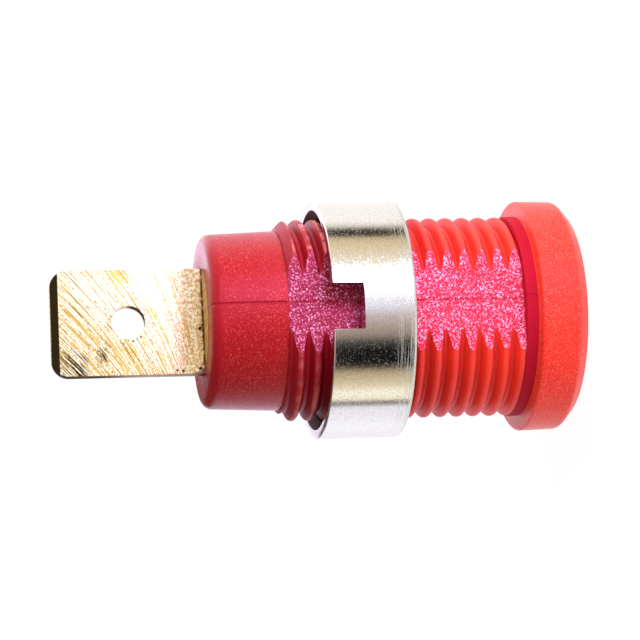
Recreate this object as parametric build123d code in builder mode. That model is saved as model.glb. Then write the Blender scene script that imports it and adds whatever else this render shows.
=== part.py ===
from build123d import *
import math
import os

os.makedirs("parts", exist_ok=True)

# Panel-mount insulated socket for a 4 mm plug. Millimetres, with the axis along Z.
# The front face of the flange lies on z = 0, and the blade terminal points up.

# Outside thread, right-handed, in a wall round the well, with two flats cut below its root
thread_pitch = 1.0
thread_depth = 0.525
thread_wall = 1.2
thread_length = 14.5
thread_crest_width = 0.12
thread_shoulder_width = 0.34
thread_shoulder_drop = 0.09
thread_root_width = 0.2
thread_sunk = 0.12
thread_lead_in = 0.5
thread_phase = 0.14
flat_depth = 0.27

# Round collar in front of the thread, just proud of its crests
collar_step = 0.025
collar_length = 0.7

# Flange, which stands proud of the collar
flange_lip = 0.9
flange_thickness = 2.9
flange_draft = 0.05
flange_chamfer_radial = 0.8
flange_chamfer_axial = 0.7
flange_edge_round = 0.15

# Rear barrel, a step below the thread's root
barrel_step = 0.11
barrel_length = 4.4
barrel_draft = 0.19
barrel_edge_round = 0.5

# Tube of the contact, with the socket for the plug's pin
socket_radius = 2.0
socket_mouth_chamfer = 0.25
socket_end_wall = 0.8
drill_point_angle = 118
tube_wall = 0.6
contact_recess = 3.0

# Shank of the contact, pressed into the housing, with a barb round it
shank_radius = 3.15
shank_length = 3.4
barb_height = 0.2
barb_length = 0.7
barb_inset = 1.0
seat_clearance = 0.02

# Central post round the tube, and the well round the post for the sleeve of a shrouded plug
post_wall = 0.53
post_recess = 0.5
post_edge_chamfer = 0.25
mouth_clearance = 0.2
well_gap = 1.05
well_mouth_chamfer = 0.35
rear_skin = 1.1

# Blade terminal, milled from the same bar as the shank
blade_length = 8.8
blade_thickness = 0.8
blade_corner = 1.0
blade_root_round = 1.2
blade_bevel_length = 0.45
blade_bevel_depth = 0.2
blade_hole_radius = 1.0
blade_hole_inset = 4.5

# Slotted ring nut, a little larger than the flange
nut_overhang = 0.2
nut_length = 4.85
nut_clearance = 0.075
nut_gap_to_flange = 7.4
nut_turn = -5
nut_countersink = 0.45
nut_front_countersink = 0.2
nut_front_round = 0.22
nut_rear_round = 0.08
nut_slot_width = 2.65
nut_slot_depth = 1.8
nut_slot_count = 2

# Levels along the axis
collar_top = flange_thickness + collar_length
thread_top = flange_thickness + thread_length
body_top = thread_top + barrel_length
shank_bottom = body_top - shank_length
barb_bottom = shank_bottom + barb_inset
barb_top = barb_bottom + barb_length
well_floor = shank_bottom - rear_skin
blade_top = body_top + blade_length
nut_front = flange_thickness + nut_gap_to_flange
nut_rear = nut_front + nut_length

# Radii that follow from the sizes above
tube_radius = socket_radius + tube_wall
mouth_radius = socket_radius + mouth_clearance
post_radius = tube_radius + seat_clearance + post_wall
well_radius = post_radius + well_gap
thread_root_radius = well_radius + thread_wall
thread_crest_radius = thread_root_radius + thread_depth
across_flats = 2 * (thread_root_radius - flat_depth)
collar_radius = thread_crest_radius + collar_step
flange_radius = collar_radius + flange_lip
flange_front_radius = flange_radius - flange_draft - flange_chamfer_radial
barrel_radius = thread_root_radius - barrel_step
nut_bore_radius = thread_crest_radius + nut_clearance
nut_radius = flange_radius + nut_overhang


def contact_outline(clearance=0):
    """Half section of the contact's tube, shank and barb, grown by a clearance."""
    tube = tube_radius + clearance
    shank = shank_radius + clearance
    Polyline(
        (0, contact_recess),
        (tube, contact_recess),
        (tube, shank_bottom),
        (shank, shank_bottom),
        (shank, barb_bottom),
        (shank + barb_height, barb_bottom),
        (shank, barb_top),
        (shank, body_top),
        (0, body_top),
        close=True,
    )


# Moulded housing: thread, flange, collar and barrel in one piece
with BuildPart() as insulator:
    # Core of the thread, with one ridge wound round it and sunk into it, both a turn too long
    wound_top = thread_top + thread_pitch
    with BuildSketch():
        Circle(thread_root_radius)
    extrude(amount=wound_top)
    ridge_start = thread_phase + thread_pitch * ((flange_thickness - thread_phase) // thread_pitch)
    with BuildLine(mode=Mode.PRIVATE) as ridge_path:
        Helix(
            thread_pitch,
            wound_top - ridge_start,
            thread_root_radius,
            center=(0, 0, ridge_start),
        )
    with BuildSketch(Plane(ridge_path.line @ 0, x_dir=(1, 0, 0), z_dir=ridge_path.line % 0)):
        with BuildLine():
            shoulder = thread_depth - thread_shoulder_drop
            half_root = (thread_pitch - thread_root_width) / 2
            flank_lean = (half_root - thread_shoulder_width / 2) / shoulder
            half_base = half_root + flank_lean * thread_sunk
            Polyline(
                (thread_depth, thread_crest_width / 2),
                (shoulder, thread_shoulder_width / 2),
                (-thread_sunk, half_base),
                (-thread_sunk, -half_base),
                (shoulder, -thread_shoulder_width / 2),
                (thread_depth, -thread_crest_width / 2),
                close=True,
            )
        make_face()
    sweep(path=ridge_path.line, is_frenet=True)

    # The rear end of the thread, cut square with a lead-in chamfer
    with BuildSketch(Plane.XZ):
        with BuildLine():
            Polyline(
                (0, thread_top),
                (thread_root_radius, thread_top),
                (thread_crest_radius, thread_top - thread_lead_in),
                (flange_radius, thread_top - thread_lead_in),
                (flange_radius, wound_top + thread_pitch),
                (0, wound_top + thread_pitch),
                close=True,
            )
        make_face()
    revolve(axis=Axis.Z, mode=Mode.SUBTRACT)

    # Two flats, which end at the collar
    with BuildSketch(Plane.XY.offset(collar_top)):
        Circle(flange_radius)
        Rectangle(2 * flange_radius, across_flats, mode=Mode.SUBTRACT)
    extrude(amount=thread_length, mode=Mode.SUBTRACT)

    # Flange and collar in front of the thread, drafted barrel behind it
    with BuildSketch(Plane.XZ) as turned:
        with BuildLine():
            Polyline(
                (0, 0),
                (flange_front_radius, 0),
                (flange_radius - flange_draft, flange_chamfer_axial),
                (flange_radius, flange_thickness),
                (collar_radius, flange_thickness),
                (collar_radius, collar_top),
                (0, collar_top),
                close=True,
            )
        make_face()
        with BuildLine():
            Polyline(
                (0, thread_top),
                (barrel_radius, thread_top),
                (barrel_radius - barrel_draft, body_top),
                (0, body_top),
                close=True,
            )
        make_face()
        rim_corners = turned.vertices().filter_by(lambda corner: corner.X > collar_radius)
        fillet(rim_corners.sort_by(Axis.Y)[1:], flange_edge_round)
        fillet(turned.vertices().group_by(Axis.Y)[-1].sort_by(Axis.X)[-1], barrel_edge_round)
    revolve(axis=Axis.Z)

    # Front well around the post, with the post's mouth and the seat of the contact
    with BuildSketch(Plane.XZ):
        with BuildLine():
            Polyline(
                (0, 0),
                (well_radius + well_mouth_chamfer, 0),
                (well_radius, well_mouth_chamfer),
                (well_radius, well_floor),
                (post_radius, well_floor),
                (post_radius, post_recess + post_edge_chamfer),
                (post_radius - post_edge_chamfer, post_recess),
                (mouth_radius, post_recess),
                (mouth_radius, contact_recess),
                (0, contact_recess),
                close=True,
            )
        make_face()
        with BuildLine():
            contact_outline(seat_clearance)
        make_face()
    revolve(axis=Axis.Z, mode=Mode.SUBTRACT)

# Contact: one turned and milled bar
with BuildPart() as contact:
    with BuildSketch(Plane.XZ):
        with BuildLine():
            contact_outline()
        make_face()
    revolve(axis=Axis.Z)

    # Rear end of the bar, with its corner turned round
    with BuildSketch(Plane.XZ) as bar:
        with Locations((0, body_top)):
            Rectangle(shank_radius, blade_length, align=(Align.MIN, Align.MIN))
        fillet(bar.vertices().group_by(Axis.Y)[-1].sort_by(Axis.X)[-1], blade_corner)
    revolve(axis=Axis.Z)

    # Blade: what two milling cuts leave of the bar, round at its root and bevelled at its end
    with BuildSketch(Plane.YZ) as milling:
        with Locations((blade_thickness / 2, body_top)):
            Rectangle(shank_radius, blade_length, align=(Align.MIN, Align.MIN))
        fillet(milling.vertices().group_by(Axis.X)[0].sort_by(Axis.Y)[0], blade_root_round)
        with BuildLine():
            Polyline(
                (blade_thickness / 2, blade_top - blade_bevel_length),
                (blade_thickness / 2, blade_top),
                (blade_thickness / 2 - blade_bevel_depth, blade_top),
                close=True,
            )
        make_face()
        mirror(about=Plane.YZ)
    extrude(amount=shank_radius, both=True, mode=Mode.SUBTRACT)
    with Locations(Plane((0, 0, blade_top - blade_hole_inset), z_dir=(0, -1, 0))):
        Hole(blade_hole_radius)

    # Socket for the plug's pin, drilled from the front
    with BuildSketch(Plane.XZ):
        with BuildLine():
            drill_tip = socket_radius / math.tan(math.radians(drill_point_angle / 2))
            socket_bottom = body_top - socket_end_wall - drill_tip
            Polyline(
                (0, contact_recess),
                (socket_radius + socket_mouth_chamfer, contact_recess),
                (socket_radius, contact_recess + socket_mouth_chamfer),
                (socket_radius, socket_bottom),
                (0, socket_bottom + drill_tip),
                close=True,
            )
        make_face()
    revolve(axis=Axis.Z, mode=Mode.SUBTRACT)

# Ring nut, with driver slots across its rear face
with BuildPart() as ring_nut:
    with BuildSketch(Plane.XZ) as wall:
        with BuildLine():
            Polyline(
                (nut_bore_radius + nut_front_countersink, nut_front),
                (nut_radius, nut_front),
                (nut_radius, nut_rear),
                (nut_bore_radius + nut_countersink, nut_rear),
                (nut_bore_radius, nut_rear - nut_countersink),
                (nut_bore_radius, nut_front + nut_front_countersink),
                close=True,
            )
        make_face()
        outer_corners = wall.vertices().group_by(Axis.X)[-1].sort_by(Axis.Y)
        fillet(outer_corners[0], nut_front_round)
        fillet(outer_corners[1], nut_rear_round)
    revolve(axis=Axis.Z)
    with BuildSketch(Plane.XY.offset(nut_rear).rotated((0, 0, nut_turn))):
        with PolarLocations(nut_radius, nut_slot_count, start_angle=90):
            Rectangle(nut_radius, nut_slot_width)
    extrude(amount=-nut_slot_depth, mode=Mode.SUBTRACT)

insulator.part.label = "insulator"
contact.part.label = "contact"
ring_nut.part.label = "ring_nut"
export_step(insulator.part, "parts/insulator.step")
export_step(contact.part, "parts/contact.step")
export_step(ring_nut.part, "parts/ring_nut.step")
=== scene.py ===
import bmesh
import bpy
import math
from mathutils import Matrix, Vector


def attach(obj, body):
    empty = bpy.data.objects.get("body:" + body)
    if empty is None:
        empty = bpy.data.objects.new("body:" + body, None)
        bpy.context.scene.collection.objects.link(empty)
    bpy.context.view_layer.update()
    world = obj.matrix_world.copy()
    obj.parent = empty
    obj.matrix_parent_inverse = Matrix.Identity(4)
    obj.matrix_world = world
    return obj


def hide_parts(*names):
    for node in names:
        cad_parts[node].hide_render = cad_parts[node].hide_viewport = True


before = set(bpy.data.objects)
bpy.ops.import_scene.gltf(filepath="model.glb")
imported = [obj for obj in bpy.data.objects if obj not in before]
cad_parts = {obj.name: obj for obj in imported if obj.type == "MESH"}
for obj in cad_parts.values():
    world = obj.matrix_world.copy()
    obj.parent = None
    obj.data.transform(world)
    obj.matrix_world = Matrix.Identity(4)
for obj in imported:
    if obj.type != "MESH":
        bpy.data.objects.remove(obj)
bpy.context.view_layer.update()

bpy.context.scene.view_settings.view_transform = "Standard"
millimetre = 0.001  # every piece is worked in millimetres and scaled once at its end
print("frame loaded:", sorted(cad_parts))

# mesh tools that every piece shares
making = dict(
    wideFrom=0.1,      # a larger rounding than this gets more segments
    wideSegments=4,
    narrowSegments=2,
    merge=0.0005,
    cutWithin=0.0001,
    sharpFrom=32,      # degrees between two faces
)


def only(parts, kind):
    return [part for part in parts if isinstance(part, kind)]


def spinRound(made, steps, rise=0.0, closed=True):
    # one full turn round the Z axis, closed on itself or rising with each step
    bmesh.ops.spin(made, geom=made.verts[:] + made.edges[:], cent=(0, 0, 0), axis=(0, 0, 1),
                   dvec=(0, 0, rise), angle=math.tau, steps=steps, use_merge=closed,
                   use_duplicate=False)


def turnProfile(corners, steps):
    # corners: radius, height, size of the rounding
    made = bmesh.new()
    ring = [made.verts.new((radius, 0, height)) for radius, height, rounding in corners]
    made.faces.new(ring)
    for size in sorted({rounding for radius, height, rounding in corners if rounding}):
        rounded = [vert for vert, corner in zip(ring, corners) if corner[2] == size]
        width = "wideSegments" if size > making["wideFrom"] else "narrowSegments"
        bmesh.ops.bevel(made, geom=rounded, offset=size, offset_type="OFFSET", affect="VERTICES",
                        segments=making[width], profile=0.5, material=-1)
    bmesh.ops.delete(made, geom=made.faces[:], context="FACES_ONLY")
    spinRound(made, steps)
    bmesh.ops.remove_doubles(made, verts=made.verts, dist=making["merge"])
    bmesh.ops.recalc_face_normals(made, faces=made.faces)
    return made


def cutAway(made, point, normal):
    # keeps what lies behind the plane and returns the edges of the cut
    everything = made.verts[:] + made.edges[:] + made.faces[:]
    cut = bmesh.ops.bisect_plane(made, geom=everything, dist=making["cutWithin"], plane_co=point,
                                 plane_no=normal, clear_outer=True, clear_inner=False)
    return only(cut["geom_cut"], bmesh.types.BMEdge)


def markSharp(made):
    limit = math.radians(making["sharpFrom"])
    for face in made.faces:
        face.smooth = True
    for edge in made.edges:
        edge.smooth = len(edge.link_faces) == 2 and edge.calc_face_angle(0) < limit


def finishPiece(made, name, body=None):
    bmesh.ops.scale(made, vec=(millimetre, millimetre, millimetre), verts=made.verts)
    markSharp(made)
    mesh = bpy.data.meshes.new(name)
    made.to_mesh(mesh)
    made.free()
    piece = bpy.data.objects.new(name, mesh)
    bpy.context.scene.collection.objects.link(piece)
    if body:
        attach(piece, body)
        even = piece.modifiers.new("evenNormals", "WEIGHTED_NORMAL")  # for long walls in gloss
        even.keep_sharp = True
    return piece


# material tools

class Channel:  # a shader socket that takes arithmetic
    def __init__(self, tree, socket=None):
        self.tree = tree
        self.socket = socket

    def node(self, kind, settings=None, sockets=None, output=0):
        made = self.tree.nodes.new("ShaderNode" + kind)
        for name, value in (settings or {}).items():
            if name == "stops":
                ramp = made.color_ramp
                while len(ramp.elements) < len(value):
                    ramp.elements.new(0.5)
                for element, (place, colour) in zip(ramp.elements, value):
                    element.position = place
                    element.color = (*colour, 1)
            else:
                setattr(made, name, value)
        for name, value in (sockets or {}).items():
            socket = made.inputs[name]
            if isinstance(value, Channel):
                self.tree.links.new(value.socket, socket)
            elif socket.type == "RGBA" and len(value) == 3:
                socket.default_value = (*value, 1)
            else:
                socket.default_value = value
        return Channel(self.tree, made.outputs[output])

    def maths(self, operation, *values):
        return self.node("Math", {"operation": operation}, dict(enumerate(values)))

    def __add__(self, other):
        return self.maths("ADD", self, other)

    __radd__ = __add__

    def __sub__(self, other):
        return self.maths("SUBTRACT", self, other)

    def __rsub__(self, other):
        return self.maths("SUBTRACT", other, self)

    def __mul__(self, other):
        return self.maths("MULTIPLY", self, other)

    __rmul__ = __mul__

    def __pow__(self, other):
        return self.maths("POWER", self, other)

    def __abs__(self):
        return self.maths("ABSOLUTE", self)

    def lower(self, other):
        return self.maths("MINIMUM", self, other)

    def upper(self, other):
        return self.maths("MAXIMUM", self, other)

    def fade(self, low, high):
        # 0 at low, 1 at high, and smooth between them; low may be the larger
        return self.node("MapRange", {"interpolation_type": "SMOOTHSTEP"},
                         {"Value": self, "From Min": low, "From Max": high})

    def band(self, low, high, soft):
        return self.fade(low - soft, low + soft) * self.fade(high + soft, high - soft)

    def swing(self, amount):
        # moves a noise, which lies about a half, to swing about 0
        return (self - 0.5) * amount

    def blend(self, first, second):
        # mixes two colours with this channel as the factor; 6, 7 and output 2 are the colour ones
        return self.node("Mix", {"data_type": "RGBA"}, {0: self, 6: first, 7: second}, output=2)

    def ramp(self, stops):
        return self.node("ValToRGB", {"stops": stops}, {0: self})

    def noise(self, scale, detail=2.0, roughness=0.5):
        return self.node("TexNoise", {}, {"Vector": self, "Scale": scale, "Detail": detail,
                                          "Roughness": roughness})

    def mottle(self, look):
        # look: a noise's scale, detail and roughness, and the two levels that it fades between
        return self.noise(*look["noise"]).fade(*look["levels"])

    def cells(self, scale):
        return self.node("TexVoronoi", {}, {"Vector": self, "Scale": scale})

    def mapped(self, scale=(1, 1, 1), turn=(0, 0, 0)):
        return self.node("Mapping", {}, {"Vector": self, "Scale": scale, "Rotation": turn})

    def place(self):
        # Object coordinates in millimetres
        coordinates = self.node("TexCoord", output="Object")
        return self.node("VectorMath", {"operation": "SCALE"},
                         {0: coordinates, "Scale": 1 / millimetre})

    def parts(self):
        split = self.node("SeparateXYZ", {}, {0: self}).socket.node
        return [Channel(self.tree, split.outputs[axis]) for axis in range(3)]

    def joined(self, *axes):
        return self.node("CombineXYZ", {}, dict(enumerate(axes)))

    def bumped(self, height, distance, strength=1.0):
        # chains a further bump onto this normal, or starts one
        sockets = {"Height": height, "Distance": distance * millimetre, "Strength": strength}
        if self.socket and self.socket.name == "Normal":
            sockets["Normal"] = self
        return self.node("Bump", {}, sockets)

    def seen(self):
        # 1 for the camera's own rays and for those that metal and glass send on
        rays = self.node("LightPath").socket.node
        kinds = ("Is Camera Ray", "Is Glossy Ray", "Is Transmission Ray")
        camera, glossy, passing = (Channel(self.tree, rays.outputs[kind]) for kind in kinds)
        return camera.upper(glossy).upper(passing)

    def finished(self, kind="OutputMaterial"):
        # this shader becomes what the material or the world shows
        output = self.tree.nodes.new("ShaderNode" + kind)
        self.tree.links.new(self.socket, output.inputs["Surface"])


def newMaterial(name):
    material = bpy.data.materials.new(name)
    material.use_nodes = True
    material.node_tree.nodes.clear()
    return material, Channel(material.node_tree)


def dress(piece, material):
    piece.data.materials.clear()
    piece.data.materials.append(material)


camera = dict(
    place=(-0.029199, -0.14262, 0.040874),
    forward=(0.19743, 0.96422, -0.17692),
    up=(0.9788, -0.20393, -0.01912),
    lens=140.83,
    sensor=36,
    nearest=0.01,
    farthest=20,
)


def setCamera():
    data = bpy.data.cameras.new("camera")
    data.lens = camera["lens"]
    data.sensor_width = camera["sensor"]
    data.clip_start = camera["nearest"]
    data.clip_end = camera["farthest"]
    made = bpy.data.objects.new("camera", data)
    forward = Vector(camera["forward"]).normalized()
    up = Vector(camera["up"]).normalized()
    right = forward.cross(up)
    turned = Matrix((right, up, -forward)).transposed()
    made.matrix_world = Matrix.Translation(camera["place"]) @ turned.to_4x4()
    bpy.context.scene.collection.objects.link(made)
    bpy.context.scene.camera = made
    print("camera set")


setCamera()

plastic = dict(
    hues=dict(
        front=(0.93, 0.046, 0.016),
        rear=(0.39, 0.0066, 0.007),
        shadedRearThread=(0.30, 0.003, 0.010),
        flat=(0.74, 0.006, 0.050),
        shadedFlatRear=(0.22, 0.001, 0.024),
        spark=(1.0, 0.47, 0.67),       # painted highlights: lit grains of the flats, in front of the nut and, darker in painted shade, behind it
        sparkRear=(0.98, 0.27, 0.50),
        sparkPeak=(1.0, 0.74, 0.88),     # the brightest of them, painted too
        glint=(1.0, 0.36, 0.26),       # painted highlights: lit grains of the flange and of the barrel
        glintRear=(0.98, 0.20, 0.17),
        crest=(0.95, 0.30, 0.28),
        dark=(0.30, 0.002, 0.012),
        # painted shade, on the collar and in the hollows of the grain
        collar=(0.40, 0.0, 0.014),
        dust=(0.95, 0.62, 0.60),
    ),
    # where each look starts and is full, or a band's two ends and the softness of both
    spans=dict(
        depth=(1.0, 20.0),
        behindNut=(10.5, 13.6),
        thread=(3.6, 17.4, 0.03),
        barrel=(17.38, 17.42),
        rounding=(21.05, 21.35),       # of the barrel's rear end
        collar=(2.95, 3.62, 0.02),
        flange=(2.94, 2.9),
        paleCrestHeights=(13.0, 17.5, 1.6),
        flat=(5.12, 5.14, 0.02),       # distances from the middle plane
        crest=(5.785, 5.905),          # distances from the axis
        groove=(5.62, 5.38),
        upperSide=(-3.0, 2.0),         # along X
        parting=(0.10, 0.02),
    ),
    # how strongly each look covers the one under it
    covers=dict(
        mottled=0.08,
        shadedRearThread=0.85,
        groove=0.32,
        collar=0.95,
        flat=0.95,
        rounding=0.35,
        rubbedAndLit=0.75,
        everyCrest=0.06,
        paleCrestShareBelow=0.4,               # share of the pale crests on the lower side, where less highlight is painted
        dust=0.6,
        pit=0.6,
        spark=0.88,
        sparkLost=0.12,                # less of it behind the nut, where shade is painted
        sparkPeak=0.9,
        glint=0.36,
        glintMore=0.08,                # more of it on the flange
        hollow=0.45,
        parting=0.75,
    ),
    mottled=dict(noise=(0.9, 4.0, 0.6), levels=(0.35, 0.7)),
    rubbedAndLit=dict(scale=(1, 1, 0.6), noise=(1.1, 5.0, 0.62), levels=(0.46, 0.62)),
    waver=dict(noise=0.8, amount=0.06),
    dust=dict(cells=1.5, size=(0.055, 0.03), noise=0.7, levels=(0.5, 0.6)),
    # moulded finish with painted light: noises, their share in the relief, and the levels of its
    # pits, painted in shade, and of its grains, painted lit
    grain=dict(
        turn=(0.5, 0.7, 0.4),          # keeps its rows out of line with the flats
        coarse=(9.5, 2.0, 0.6),
        fine=(12.35, 2.0, 0.6),
        flangeRelief=0.64,
        barrelRelief=0.52,
        flangeShare=0.8,
        roundingLoss=0.8,
        gather=0.05,
        pit=(0.52, 0.38),
        spark=(0.54, 0.63),
        sparkPeak=(0.64, 0.71),
        glint=(0.56, 0.65),
        hollow=(0.50, 0.40),
    ),
    patch=dict(noise=(1.3, 2.0, 0.5), levels=(0.30, 0.70)),
    grainBump=0.06,
    partingBump=0.03,
    rough=dict(thread=0.46, flat=-0.22, flange=-0.19, barrel=-0.22, collar=0.32, worn=0.1),
    shader={
        "Subsurface Weight": 0.3,
        "Subsurface Scale": 0.0009,
        "Subsurface Radius": (1.0, 0.25, 0.12),
        "Specular IOR Level": 0.45,
        "Specular Tint": (1.0, 0.31, 0.44),
    },
)


def makeRedPlastic():
    s = plastic
    hue, span, cover = s["hues"], s["spans"], s["covers"]
    material, start = newMaterial("redPlastic")
    place = start.place()
    x, y, z = place.parts()
    radius = (x * x + y * y) ** 0.5

    onThread = z.band(*span["thread"])
    onFlat = onThread * abs(y).band(*span["flat"])
    onTurns = onThread * (1 - onFlat)
    onCrest = onTurns * radius.fade(*span["crest"])
    inGroove = onTurns * radius.fade(*span["groove"])
    onBarrel = z.fade(*span["barrel"])
    onRounding = z.fade(*span["rounding"])
    onCollar = z.band(*span["collar"])
    onFlange = z.fade(*span["flange"])
    behindNut = z.fade(*span["behindNut"])

    # partly painted light: the thin wall round the front well lets light through and is painted
    # lighter, and the solid rear is painted deeper and darker, as less lit
    colour = z.fade(*span["depth"]).blend(hue["front"], hue["rear"])
    colour = (place.mottle(s["mottled"]) * cover["mottled"]).blend(colour, hue["dark"])
    # painted shade: the thread behind the nut darker, as in the nut's shadow
    colour = (onThread * behindNut * cover["shadedRearThread"]).blend(colour, hue["shadedRearThread"])
    # painted shade in the grooves of the thread
    colour = (inGroove * cover["groove"]).blend(colour, hue["dark"])
    # painted shade: the collar dark, as in the shadow of the flange
    colour = (onCollar * cover["collar"]).blend(colour, hue["collar"])
    # painted shadow: the flats behind the nut and in its slots darker
    flatHue = behindNut.blend(hue["flat"], hue["shadedFlatRear"])
    colour = (onFlat * cover["flat"]).blend(colour, flatHue)
    # painted reflection of darker surroundings on the rounding of the barrel's rear end
    colour = (onBarrel * onRounding * cover["rounding"]).blend(colour, hue["dark"])

    # crests painted paler: rubbing behind the nut, a painted highlight that is stronger on the
    # upper side, and a faint painted highlight on every crest
    rubbedAndLit = place.mapped(scale=s["rubbedAndLit"]["scale"]).mottle(s["rubbedAndLit"])
    below = cover["paleCrestShareBelow"]
    side = below + (1 - below) * x.fade(*span["upperSide"])
    wearAndHighlight = onCrest * rubbedAndLit * z.band(*span["paleCrestHeights"]) * side * cover["rubbedAndLit"]
    wearAndHighlight = wearAndHighlight + onCrest * cover["everyCrest"]
    colour = wearAndHighlight.blend(colour, hue["crest"])

    # parting line of the mould, on both sides, and dust caught in the finish
    waver = place.noise(s["waver"]["noise"]).swing(s["waver"]["amount"])
    parting = abs(x + waver).fade(*span["parting"]) * (onFlat + onBarrel + onCollar).lower(1.0)
    specks = place.cells(s["dust"]["cells"]).fade(*s["dust"]["size"])
    dust = specks * place.noise(s["dust"]["noise"]).fade(*s["dust"]["levels"])
    colour = (dust * cover["dust"]).blend(colour, hue["dust"])

    # rough moulded finish on the flats, with light and shade painted on it: dark pits in painted
    # shade, lit grains as painted highlights, and the brightest of these
    grain = s["grain"]
    askew = place.mapped(turn=grain["turn"])
    coarse = askew.noise(*grain["coarse"])
    gathered = coarse + askew.mottle(s["patch"]) * grain["gather"]
    colour = (onFlat * coarse.fade(*grain["pit"]) * cover["pit"]).blend(colour, hue["dark"])
    spark = onFlat * gathered.fade(*grain["spark"])
    sparkHue = behindNut.blend(hue["spark"], hue["sparkRear"])
    colour = (spark * (cover["spark"] - cover["sparkLost"] * behindNut)).blend(colour, sparkHue)
    sparkPeak = onFlat * gathered.fade(*grain["sparkPeak"])
    colour = (sparkPeak * cover["sparkPeak"]).blend(colour, hue["sparkPeak"])

    # a finer one on the flange and the barrel: lit grains as painted highlights, hollows in painted
    # shade
    fine = askew.noise(*grain["fine"])
    finer = onFlange * grain["flangeShare"] + onBarrel * (1 - onRounding * grain["roundingLoss"])
    glint = finer * fine.fade(*grain["glint"])
    glintHue = onFlange.blend(hue["glintRear"], hue["glint"])
    colour = (glint * (cover["glint"] + cover["glintMore"] * onFlange)).blend(colour, glintHue)
    # painted shade in the hollows of the grain
    colour = (finer * fine.fade(*grain["hollow"]) * cover["hollow"]).blend(colour, hue["collar"])
    colour = (parting * cover["parting"]).blend(colour, hue["dark"])

    fineRelief = onFlange * grain["flangeRelief"] + onBarrel * grain["barrelRelief"]
    relief = (onFlat * coarse + fineRelief * fine) * (1 - parting)
    normal = start.bumped(relief, s["grainBump"]).bumped(1 - parting, s["partingBump"])
    rough = s["rough"]
    roughness = (rough["thread"] + rough["flat"] * onFlat + rough["flange"] * onFlange
                 + rough["barrel"] * onBarrel + rough["collar"] * onCollar + rough["worn"] * wearAndHighlight)
    start.node("BsdfPrincipled", {}, {
        "Base Color": colour, "Roughness": roughness, "Normal": normal, **s["shader"],
    }).finished()
    return material


# flange, collar, barrel and well are turned in one, and the thread is wound round them
housing = dict(
    steps=160,
    corners=[  # radius, height, rounding
        (4.55, 0.0, 0.06),
        (6.0, 0.0, 0.15),
        (6.8, 0.7, 0.15),
        (6.85, 2.9, 0.15),
        (5.96, 2.9, 0.03),
        (5.95, 3.6, 0.05),
        (4.8, 3.6, 0.0),
        (4.8, 17.4, 0.0),
        (5.29, 17.4, 0.0),
        (5.1, 21.8, 0.5),
        (3.17, 21.8, 0.03),
        (3.17, 18.38, 0.0),
        (2.62, 18.38, 0.0),
        (2.62, 3.0, 0.0),
        (2.2, 3.0, 0.0),
        (2.2, 0.5, 0.05),
        (2.9, 0.5, 0.03),
        (3.15, 0.75, 0.03),
        (3.15, 17.3, 0.0),
        (4.2, 17.3, 0.0),
        (4.2, 0.35, 0.03),
    ],
)
thread = dict(
    pitch=1.0,
    phase=0.14,         # height of a crest over the +X axis
    skipped=2,          # pitches below the first turn
    turns=16,
    steps=120,          # in each turn
    merge=0.002,
    lowest=3.5,
    highest=17.4,
    inner=4.75,         # inside the turned wall, which ends at 4.8
    root=5.4,
    crest=5.925,
    leadIn=0.5,
    flat=5.13,
    # half of one pitch, from the groove's middle to the crest: distance from the crest, radius
    flank=[(0.5, 5.4), (0.425, 5.403), (0.392, 5.425), (0.372, 5.46), (0.29, 5.62),
           (0.205, 5.785), (0.165, 5.85), (0.115, 5.895), (0.06, 5.918), (0.0, 5.925)],
)


def makeThread():
    s = thread
    made = bmesh.new()
    firstCrest = s["phase"] + s["skipped"] * s["pitch"]
    outline = [(firstCrest - away, radius) for away, radius in s["flank"]]
    outline += [(firstCrest + away, radius) for away, radius in reversed(s["flank"][:-1])]
    row = [made.verts.new((radius, 0, height)) for height, radius in outline]
    for low, high in zip(row, row[1:]):
        made.edges.new((low, high))
    spinRound(made, s["steps"], rise=s["pitch"] / s["steps"], closed=False)
    oneTurn = made.verts[:] + made.edges[:] + made.faces[:]
    for turn in range(1, s["turns"]):
        copied = bmesh.ops.duplicate(made, geom=oneTurn)["geom"]
        lifted = only(copied, bmesh.types.BMVert)
        bmesh.ops.translate(made, vec=(0, 0, turn * s["pitch"]), verts=lifted)
    bmesh.ops.remove_doubles(made, verts=made.verts, dist=s["merge"])

    # square ends, with a lead-in chamfer at the rear one
    ends = [cutAway(made, (0, 0, s["lowest"]), (0, 0, -1)),
            cutAway(made, (0, 0, s["highest"]), (0, 0, 1))]
    slope = (s["crest"] - s["root"]) / s["leadIn"]
    for vert in made.verts:
        limit = s["root"] + (s["highest"] - vert.co.z) * slope
        if vert.co.xy.length > limit:
            vert.co.xy *= limit / vert.co.xy.length

    # both closed down to a bore inside the turned wall
    inner = []
    for edges in ends:
        grown = bmesh.ops.extrude_edge_only(made, edges=edges)["geom"]
        moved = only(grown, bmesh.types.BMVert)
        for vert in moved:
            vert.co.xy = vert.co.xy.normalized() * s["inner"]
        inner += [edge for edge in only(grown, bmesh.types.BMEdge)
                  if all(vert in moved for vert in edge.verts)]
    bmesh.ops.bridge_loops(made, edges=inner)

    # two flats, cut below the root
    for side in (-1, 1):
        edges = cutAway(made, (0, side * s["flat"], 0), (0, side, 0))
        bmesh.ops.edgenet_fill(made, edges=edges)
    bmesh.ops.recalc_face_normals(made, faces=made.faces)
    openEdges = sum(edge.is_boundary for edge in made.edges)
    print("thread:", len(made.verts), "vertices", openEdges, "open edges")
    return made


def makeHousing():
    made = turnProfile(housing["corners"], housing["steps"])
    wound = makeThread()
    spare = bpy.data.meshes.new("threadOnly")
    wound.to_mesh(spare)
    wound.free()
    made.from_mesh(spare)
    bpy.data.meshes.remove(spare)
    piece = finishPiece(made, "insulatorSkin", "jack")
    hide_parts("insulator")
    dress(piece, makeRedPlastic())
    print("housing made")


makeHousing()

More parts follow.
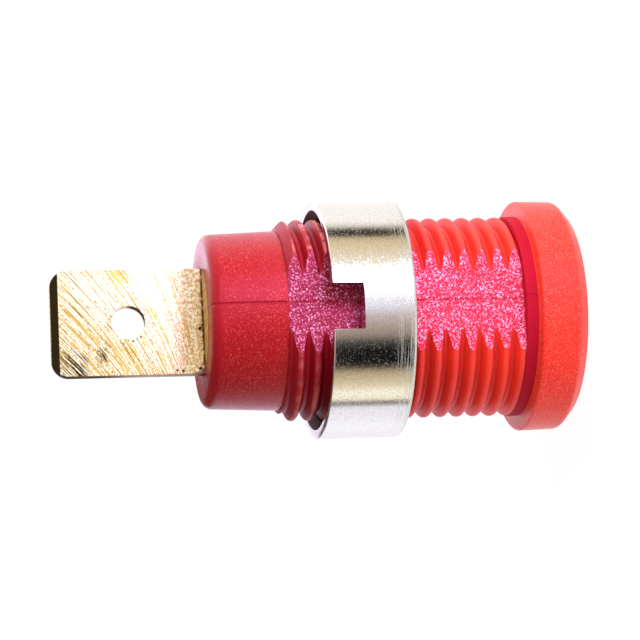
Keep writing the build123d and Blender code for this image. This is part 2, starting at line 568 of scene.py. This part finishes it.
# the contact keeps its CAD mesh
brass = dict(
    hues=dict(
        pale=(0.89, 0.81, 0.63),
        gold=(0.66, 0.43, 0.10),
        brown=(0.29, 0.165, 0.045),
        copper=(0.60, 0.31, 0.12),
        olive=(0.26, 0.16, 0.05),
        wall=(0.50, 0.32, 0.09),
        stain=(0.030, 0.019, 0.007),
    ),
    # where each look starts and is full, or a band's two ends and the softness of both
    spans=dict(
        tarnish=(3.0, -2.5),              # across the blade, along X
        cornerAcross=(-1.2, -2.3),
        cornerUp=(28.5, 30.3, 0.35),
        patchAcross=(-2.4, -1.5, 0.2),
        patchUp=(27.4, 28.0, 0.15),
        edge=(-3.10, -3.13),
        nearRoot=(25.2, 22.7),            # heights
        notchUp=(22.4, 22.1),
        bevel=(30.135, 30.592, 0.02),
        inRound=(1.34, 1.42),             # distances from the middle plane
        notchOut=(1.14, 1.46, 0.07),
        wallDeep=(0.40, 0.37),
        pitSide=(0.0, -0.1),
        wall=(1.03, 1.005),               # distances from the hole's middle
    ),
    # how strongly each look covers the one under it
    covers=dict(copper=0.85, round=0.7, dashLeast=0.4, edgeLeast=0.6),
    cutter=dict(radius=27.8, height=49.8),
    # lines that the cutter left: stretch across and along them, layer, detail and roughness
    fine=dict(across=6.3, along=0.4, layer=0.0, noise=(3.0, 0.6)),
    broad=dict(across=1.5, along=0.20, layer=4.0, noise=(2.0, 0.5)),
    tone=dict(across=6.0, along=0.5, layer=9.0, noise=(3.0, 0.6)),
    hatch=dict(across=7.5, along=0.5, layer=2.0, noise=(3.0, 0.7)),
    toneLevels=(0.48, 0.62),
    hatchLevels=(0.485, 0.55),
    goldenLevels=(0.53, 0.56),
    swings=dict(broad=0.25, speck=0.62, cloud=0.2, tarnish=0.035, hatch=0.3, notch=0.3, pit=0.12),
    speck=(6.0, 3.0, 0.7),
    cloud=(0.8, 2.0, 0.5),
    grain=dict(scale=(1, 1, 1.5), noise=(5.0, 3.0, 0.7), levels=(0.49, 0.54)),
    dash=dict(across=2.3, layer=1.0, noise=(1.0, 2.0, 0.6), levels=(0.38, 0.50)),
    hole=26.1,
    # burrs and dark pits: across the blade, height, size
    pits=[(-0.55, 22.0, 0.13), (-2.9, 22.05, 0.12), (-2.95, 23.0, 0.10), (-2.9, 23.35, 0.09),
          (-2.98, 24.2, 0.06), (-1.12, 25.85, 0.09), (-0.86, 25.4, 0.08), (-1.0, 25.62, 0.05)],
    pitFull=0.55,                         # share of a pit that is wholly dark
    bump=0.010,
    lineStrength=0.6,
    speckStrength=0.5,
    rough=dict(milled=0.24, golden=0.10, root=0.14),
)


def makeBrass():
    s = brass
    hue, span, cover, swing = (s[key] for key in ("hues", "spans", "covers", "swings"))
    material, start = newMaterial("brassMilled")
    place = start.place()
    x, y, z = place.parts()
    depth = abs(y)
    flat = start.joined(x, 0.0, z)
    speck = flat.noise(*s["speck"])

    # the cutter was fed across the blade, so it left one arc shifted along x again and again
    reach = (s["cutter"]["radius"] ** 2 - (s["cutter"]["height"] - z) ** 2.0).upper(0.0) ** 0.5
    across = x - reach

    def milled(look):
        drawn = start.joined(across * look["across"], z * look["along"], look["layer"])
        return drawn.noise(1.0, *look["noise"])

    fine = milled(s["fine"])
    lines = (fine + milled(s["broad"]).swing(swing["broad"]) + speck.swing(swing["speck"])
             + flat.noise(*s["cloud"]).swing(swing["cloud"]))
    golden = (lines + x.fade(*span["tarnish"]) * swing["tarnish"]).fade(*s["goldenLevels"])
    tone = milled(s["tone"]).fade(*s["toneLevels"])
    colour = golden.blend(hue["pale"], tone.blend(hue["gold"], hue["brown"]))

    # dark hatching in the corner that the cutter left last, and in a patch beside it
    corner = x.fade(*span["cornerAcross"]) * z.band(*span["cornerUp"])
    corner = corner + x.band(*span["patchAcross"]) * z.band(*span["patchUp"])
    hatch = (milled(s["hatch"]) + speck.swing(swing["hatch"])).fade(*s["hatchLevels"])
    colour = (corner * hatch).blend(colour, hue["stain"])

    # coppery grain towards the root, and the cutter's round there
    nearRoot = z.fade(*span["nearRoot"])
    grain = flat.mapped(scale=s["grain"]["scale"]).mottle(s["grain"])
    colour = (nearRoot * grain * cover["copper"]).blend(colour, hue["copper"])
    colour = (depth.fade(*span["inRound"]) * cover["round"]).blend(colour, hue["gold"])
    notch = (depth + speck.swing(swing["notch"])).band(*span["notchOut"]) * z.fade(*span["notchUp"])
    dash = start.joined(x * s["dash"]["across"], 0.0, s["dash"]["layer"]).mottle(s["dash"])
    least = cover["dashLeast"]
    colour = (notch * (least + (1 - least) * dash)).blend(colour, hue["stain"])

    # end bevel, narrow side, wall of the hole, burrs
    onBevel = z.band(*span["bevel"])
    colour = onBevel.blend(colour, hue["stain"])
    edge = x.fade(*span["edge"]) * (1 - onBevel)
    least = cover["edgeLeast"]
    colour = (edge * (least + (1 - least) * dash)).blend(colour, hue["olive"])
    fromHole = (x * x + (z - s["hole"]) ** 2.0) ** 0.5
    wall = fromHole.fade(*span["wall"]) * depth.fade(*span["wallDeep"])
    colour = wall.blend(colour, hue["wall"])
    ragged = speck.swing(swing["pit"])
    near = y.fade(*span["pitSide"])
    for right, up, size in s["pits"]:
        away = ((x - right) ** 2.0 + (z - up) ** 2.0) ** 0.5 + ragged
        colour = (away.fade(size, size * s["pitFull"]) * near).blend(colour, hue["stain"])

    normal = start.bumped(fine, s["bump"], s["lineStrength"])
    normal = normal.bumped(speck, s["bump"], s["speckStrength"])
    rough = s["rough"]["milled"] + s["rough"]["golden"] * golden + s["rough"]["root"] * nearRoot
    start.node("BsdfPrincipled", {}, {
        "Base Color": colour, "Metallic": 1.0, "Roughness": rough, "Normal": normal,
    }).finished()
    return material


dress(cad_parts["contact"], makeBrass())
print("contact dressed")

nut = dict(
    steps=240,
    corners=[  # radius, height, rounding
        (6.2, 10.3, 0.0),
        (7.05, 10.3, 0.22),
        (7.05, 15.15, 0.08),
        (6.45, 15.15, 0.04),
        (6.0, 14.7, 0.0),
        (6.0, 10.5, 0.0),
    ],
    turn=-5,
    slotWidth=2.65,
    slotFloor=13.35,
    slotCut=(28.2, 4.0),   # length and height of the block that cuts both slots
)
nickel = dict(
    base=(0.70, 0.675, 0.635),
    speckle=(0.30, 0.26, 0.20),
    # painted shade inside the nut
    inside=(0.10, 0.035, 0.025),
    # turning marks: stretch along the nut and round it, detail and roughness
    lathe=dict(along=11.0, around=1.3, noise=(3.0, 0.65)),
    markLevels=(0.46, 0.70),
    markHeights=(11.8, 10.8),
    marksFront=0.5,
    marksRear=0.15,
    scoreLevels=(0.60, 0.72),
    scoreHeights=(12.9, 10.9),
    scored=0.4,
    speck=(7.0, 3.0, 0.75),
    cloud=(3.2, 3.0, 0.6),
    dots=dict(noise=(10.0, 2.0, 0.7), levels=(0.57, 0.70)),
    blots=dict(noise=(8.0, 1.0), levels=(0.56, 0.40)),
    dotted=0.15,
    blotted=0.13,
    bore=(6.06, 6.03),
    countersinkFrom=14.7,
    bumpStrength=0.6,
    speckBump=0.003,
    markBump=0.012,
    rough=0.075,
    roughCloud=0.05,
    roughInside=0.6,
)


def makeNickel():
    s = nickel
    material, start = newMaterial("nickelPlate")
    place = start.place()
    x, y, z = place.parts()
    radius = (x * x + y * y) ** 0.5
    around = start.maths("ARCTAN2", y, x)
    # turning marks run round the nut, strongest near its front
    drawn = start.joined(z * s["lathe"]["along"], around * s["lathe"]["around"], 0.0)
    lathe = drawn.noise(1.0, *s["lathe"]["noise"])
    nearFront = z.fade(*s["markHeights"])
    marks = lathe.fade(*s["markLevels"]) * (nearFront * s["marksFront"] + s["marksRear"])
    scores = lathe.fade(*s["scoreLevels"]) * z.fade(*s["scoreHeights"])
    dots = place.mottle(s["dots"])
    blots = place.mottle(s["blots"])
    # painted shade: the bore and the countersink darker, for the shadow inside the nut and the dark
    # that they reflect
    inside = (radius - (z - s["countersinkFrom"]).upper(0.0)).fade(*s["bore"])
    colour = (dots * s["dotted"] + blots * s["blotted"]).blend(s["base"], s["speckle"])
    colour = (scores * s["scored"]).blend(colour, s["speckle"])
    colour = inside.blend(colour, s["inside"])
    normal = start.bumped(dots, s["speckBump"], s["bumpStrength"])
    normal = normal.bumped(place.noise(*s["speck"]), s["speckBump"], s["bumpStrength"])
    normal = normal.bumped(marks, s["markBump"], s["bumpStrength"])
    rough = s["rough"] + s["roughCloud"] * place.noise(*s["cloud"]) + s["roughInside"] * inside
    start.node("BsdfPrincipled", {}, {
        "Base Color": colour, "Metallic": 1.0, "Roughness": rough, "Normal": normal,
    }).finished()
    return material


def makeNut():
    s = nut
    made = turnProfile(s["corners"], s["steps"])
    piece = finishPiece(made, "ringNutSkin", "nut")
    block = bmesh.new()
    length, height = s["slotCut"]
    bmesh.ops.create_cube(block, size=1.0)
    bmesh.ops.scale(block, vec=(s["slotWidth"], length, height), verts=block.verts)
    bmesh.ops.translate(block, vec=(0, 0, s["slotFloor"] + height / 2), verts=block.verts)
    bmesh.ops.rotate(block, cent=(0, 0, 0), matrix=Matrix.Rotation(math.radians(s["turn"]), 3, "Z"),
                     verts=block.verts)
    cutter = finishPiece(block, "slotCutter")
    groove = piece.modifiers.new("slots", "BOOLEAN")
    groove.operation = "DIFFERENCE"
    groove.solver = "EXACT"
    groove.object = cutter
    piece.modifiers["evenNormals"].show_viewport = False
    evaluated = piece.evaluated_get(bpy.context.evaluated_depsgraph_get())
    shaped = bpy.data.meshes.new_from_object(evaluated)
    piece.modifiers.remove(groove)
    piece.modifiers["evenNormals"].show_viewport = True
    piece.data = shaped
    bpy.data.objects.remove(cutter)
    slotted = bmesh.new()
    slotted.from_mesh(shaped)
    markSharp(slotted)
    slotted.to_mesh(shaped)
    slotted.free()
    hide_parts("ring_nut")
    dress(piece, makeNickel())
    print("ring nut made:", len(shaped.vertices), "vertices")


makeNut()

studio = dict(
    tentRadius=36,
    tentHeight=150,
    tentSegments=96,
    tentLift=0.5,
    cameraAzimuth=-101.57,
    # what the nut reflects: degrees from the camera's side, positive towards +X, and the colour
    bands=[
        (-180, (1.25, 1.2, 1.25)), (-150, (1.12, 1.05, 1.15)), (-115, (1.35, 1.38, 1.55)),
        (-85, (1.2, 1.2, 1.36)), (-81, (0.3, 0.27, 0.26)), (-78, (0.3, 0.27, 0.24)),
        (-75, (1.35, 1.28, 1.05)), (-67, (1.45, 1.38, 1.2)), (-60, (1.05, 0.92, 0.66)),
        (-52, (0.8, 0.66, 0.43)), (-46.5, (0.62, 0.5, 0.32)), (-42, (0.1, 0.085, 0.06)),
        (-38, (0.008, 0.008, 0.009)), (-26, (0.008, 0.008, 0.009)), (-19, (0.1, 0.09, 0.08)),
        (-14, (0.42, 0.34, 0.29)), (-6, (0.6, 0.48, 0.43)), (3, (0.8, 0.67, 0.71)),
        (10, (1.1, 1.1, 1.28)), (17, (1.25, 1.27, 1.45)), (26, (1.7, 1.7, 1.8)),
        (42, (1.7, 1.65, 1.6)), (50, (1.28, 1.16, 0.98)), (60, (1.12, 0.97, 0.73)),
        (70, (1.0, 0.83, 0.54)), (76.5, (0.85, 0.7, 0.45)), (79.5, (0.06, 0.05, 0.035)),
        (87, (0.06, 0.05, 0.04)), (91, (0.93, 0.85, 0.72)), (98, (1.4, 1.4, 1.4)),
        (180, (1.25, 1.2, 1.25)),
    ],
    # the same above the nut, brighter on the side of +X
    upper=[
        (-180, (0.6, 0.55, 0.6)), (-174, (0.08, 0.06, 0.05)), (-120, (0.2, 0.17, 0.15)),
        (-60, (0.3, 0.28, 0.27)), (-20, (0.62, 0.6, 0.6)), (5, (1.1, 1.08, 1.05)),
        (45, (1.15, 1.12, 1.1)), (70, (1.4, 1.35, 1.3)), (120, (1.7, 1.55, 1.6)),
        (172, (2.5, 2.15, 2.6)), (180, (0.6, 0.55, 0.6)),
    ],
    upperFrom=(11.0, 14.0),
    # light on the rims from behind the part, and the key light: degrees, heights, colour
    rearRim=dict(around=(110, 130), heights=(11.0, 23.0, 1.5), colour=(1.2, 1.13, 1.34)),
    keyLight=dict(around=(29, 42, 3), heights=(20.5, 14.5), colour=(19.0, 16.5, 27.0)),
    floorRadius=3000,
    floorSegments=64,
    floorWhite=0.955,      # what the camera sees, and how far light and shadow show on it
    floorLit=0.07,
    floorPaint=0.8,        # what lights the part from below
    floorGlow=0.45,
    world=0.95,
    backdrop=1.0,
    white=(1, 1, 1),
)


def makeTent():
    s = studio
    made = bmesh.new()
    bmesh.ops.create_cone(made, cap_ends=False, segments=s["tentSegments"], radius1=s["tentRadius"],
                          radius2=s["tentRadius"], depth=s["tentHeight"])
    bmesh.ops.translate(made, vec=(0, 0, s["tentHeight"] / 2 + s["tentLift"]), verts=made.verts)
    tent = finishPiece(made, "lightTent")
    tent.visible_camera = False
    tent.visible_shadow = False

    material, start = newMaterial("tentCloth")
    x, y, z = start.place().parts()
    # 0 to 360 degrees, with the camera's side at 180
    degrees = start.maths("ARCTAN2", y, x) * math.degrees(1) - s["cameraAzimuth"] + 540
    swept = start.maths("MODULO", degrees, 360.0)
    turn = swept * (1 / 360)
    angle = swept - 180.0
    lower, upper = ([((place + 180) / 360, colour) for place, colour in s[name]]
                    for name in ("bands", "upper"))
    colour = z.fade(*s["upperFrom"]).blend(turn.ramp(lower), turn.ramp(upper))
    rim, key = s["rearRim"], s["keyLight"]
    behind = abs(angle).fade(*rim["around"]) * z.band(*rim["heights"])
    colour = behind.blend(colour, rim["colour"])
    lamp = angle.band(*key["around"]) * z.fade(*key["heights"])
    colour = lamp.blend(colour, key["colour"])
    start.node("Emission", {}, {"Color": colour, "Strength": 1.0}).finished()
    dress(tent, material)


def makeFloor():
    s = studio
    made = bmesh.new()
    bmesh.ops.create_circle(made, cap_ends=True, segments=s["floorSegments"],
                            radius=s["floorRadius"])
    floor = finishPiece(made, "floor")

    material, start = newMaterial("paleFloor")

    def surface(paint, glow):
        matt = start.node("BsdfDiffuse", {}, {"Color": (paint, paint, paint)})
        light = start.node("Emission", {}, {"Color": s["white"], "Strength": glow})
        return start.node("AddShader", {}, {0: matt, 1: light})

    table = surface(s["floorPaint"], s["floorGlow"])
    ground = surface(s["floorLit"], s["floorWhite"])
    start.node("MixShader", {}, {0: start.seen(), 1: table, 2: ground}).finished()
    dress(floor, material)


def makeWorld():
    s = studio
    world = bpy.data.worlds.new("studioWorld")
    bpy.context.scene.world = world
    world.use_nodes = True
    world.node_tree.nodes.clear()
    start = Channel(world.node_tree)
    soft, white = (start.node("Background", {}, {"Color": s["white"], "Strength": s[name]})
                   for name in ("world", "backdrop"))
    start.node("MixShader", {}, {0: start.seen(), 1: soft, 2: white}).finished("OutputWorld")


makeTent()
makeFloor()
makeWorld()
print("studio set")
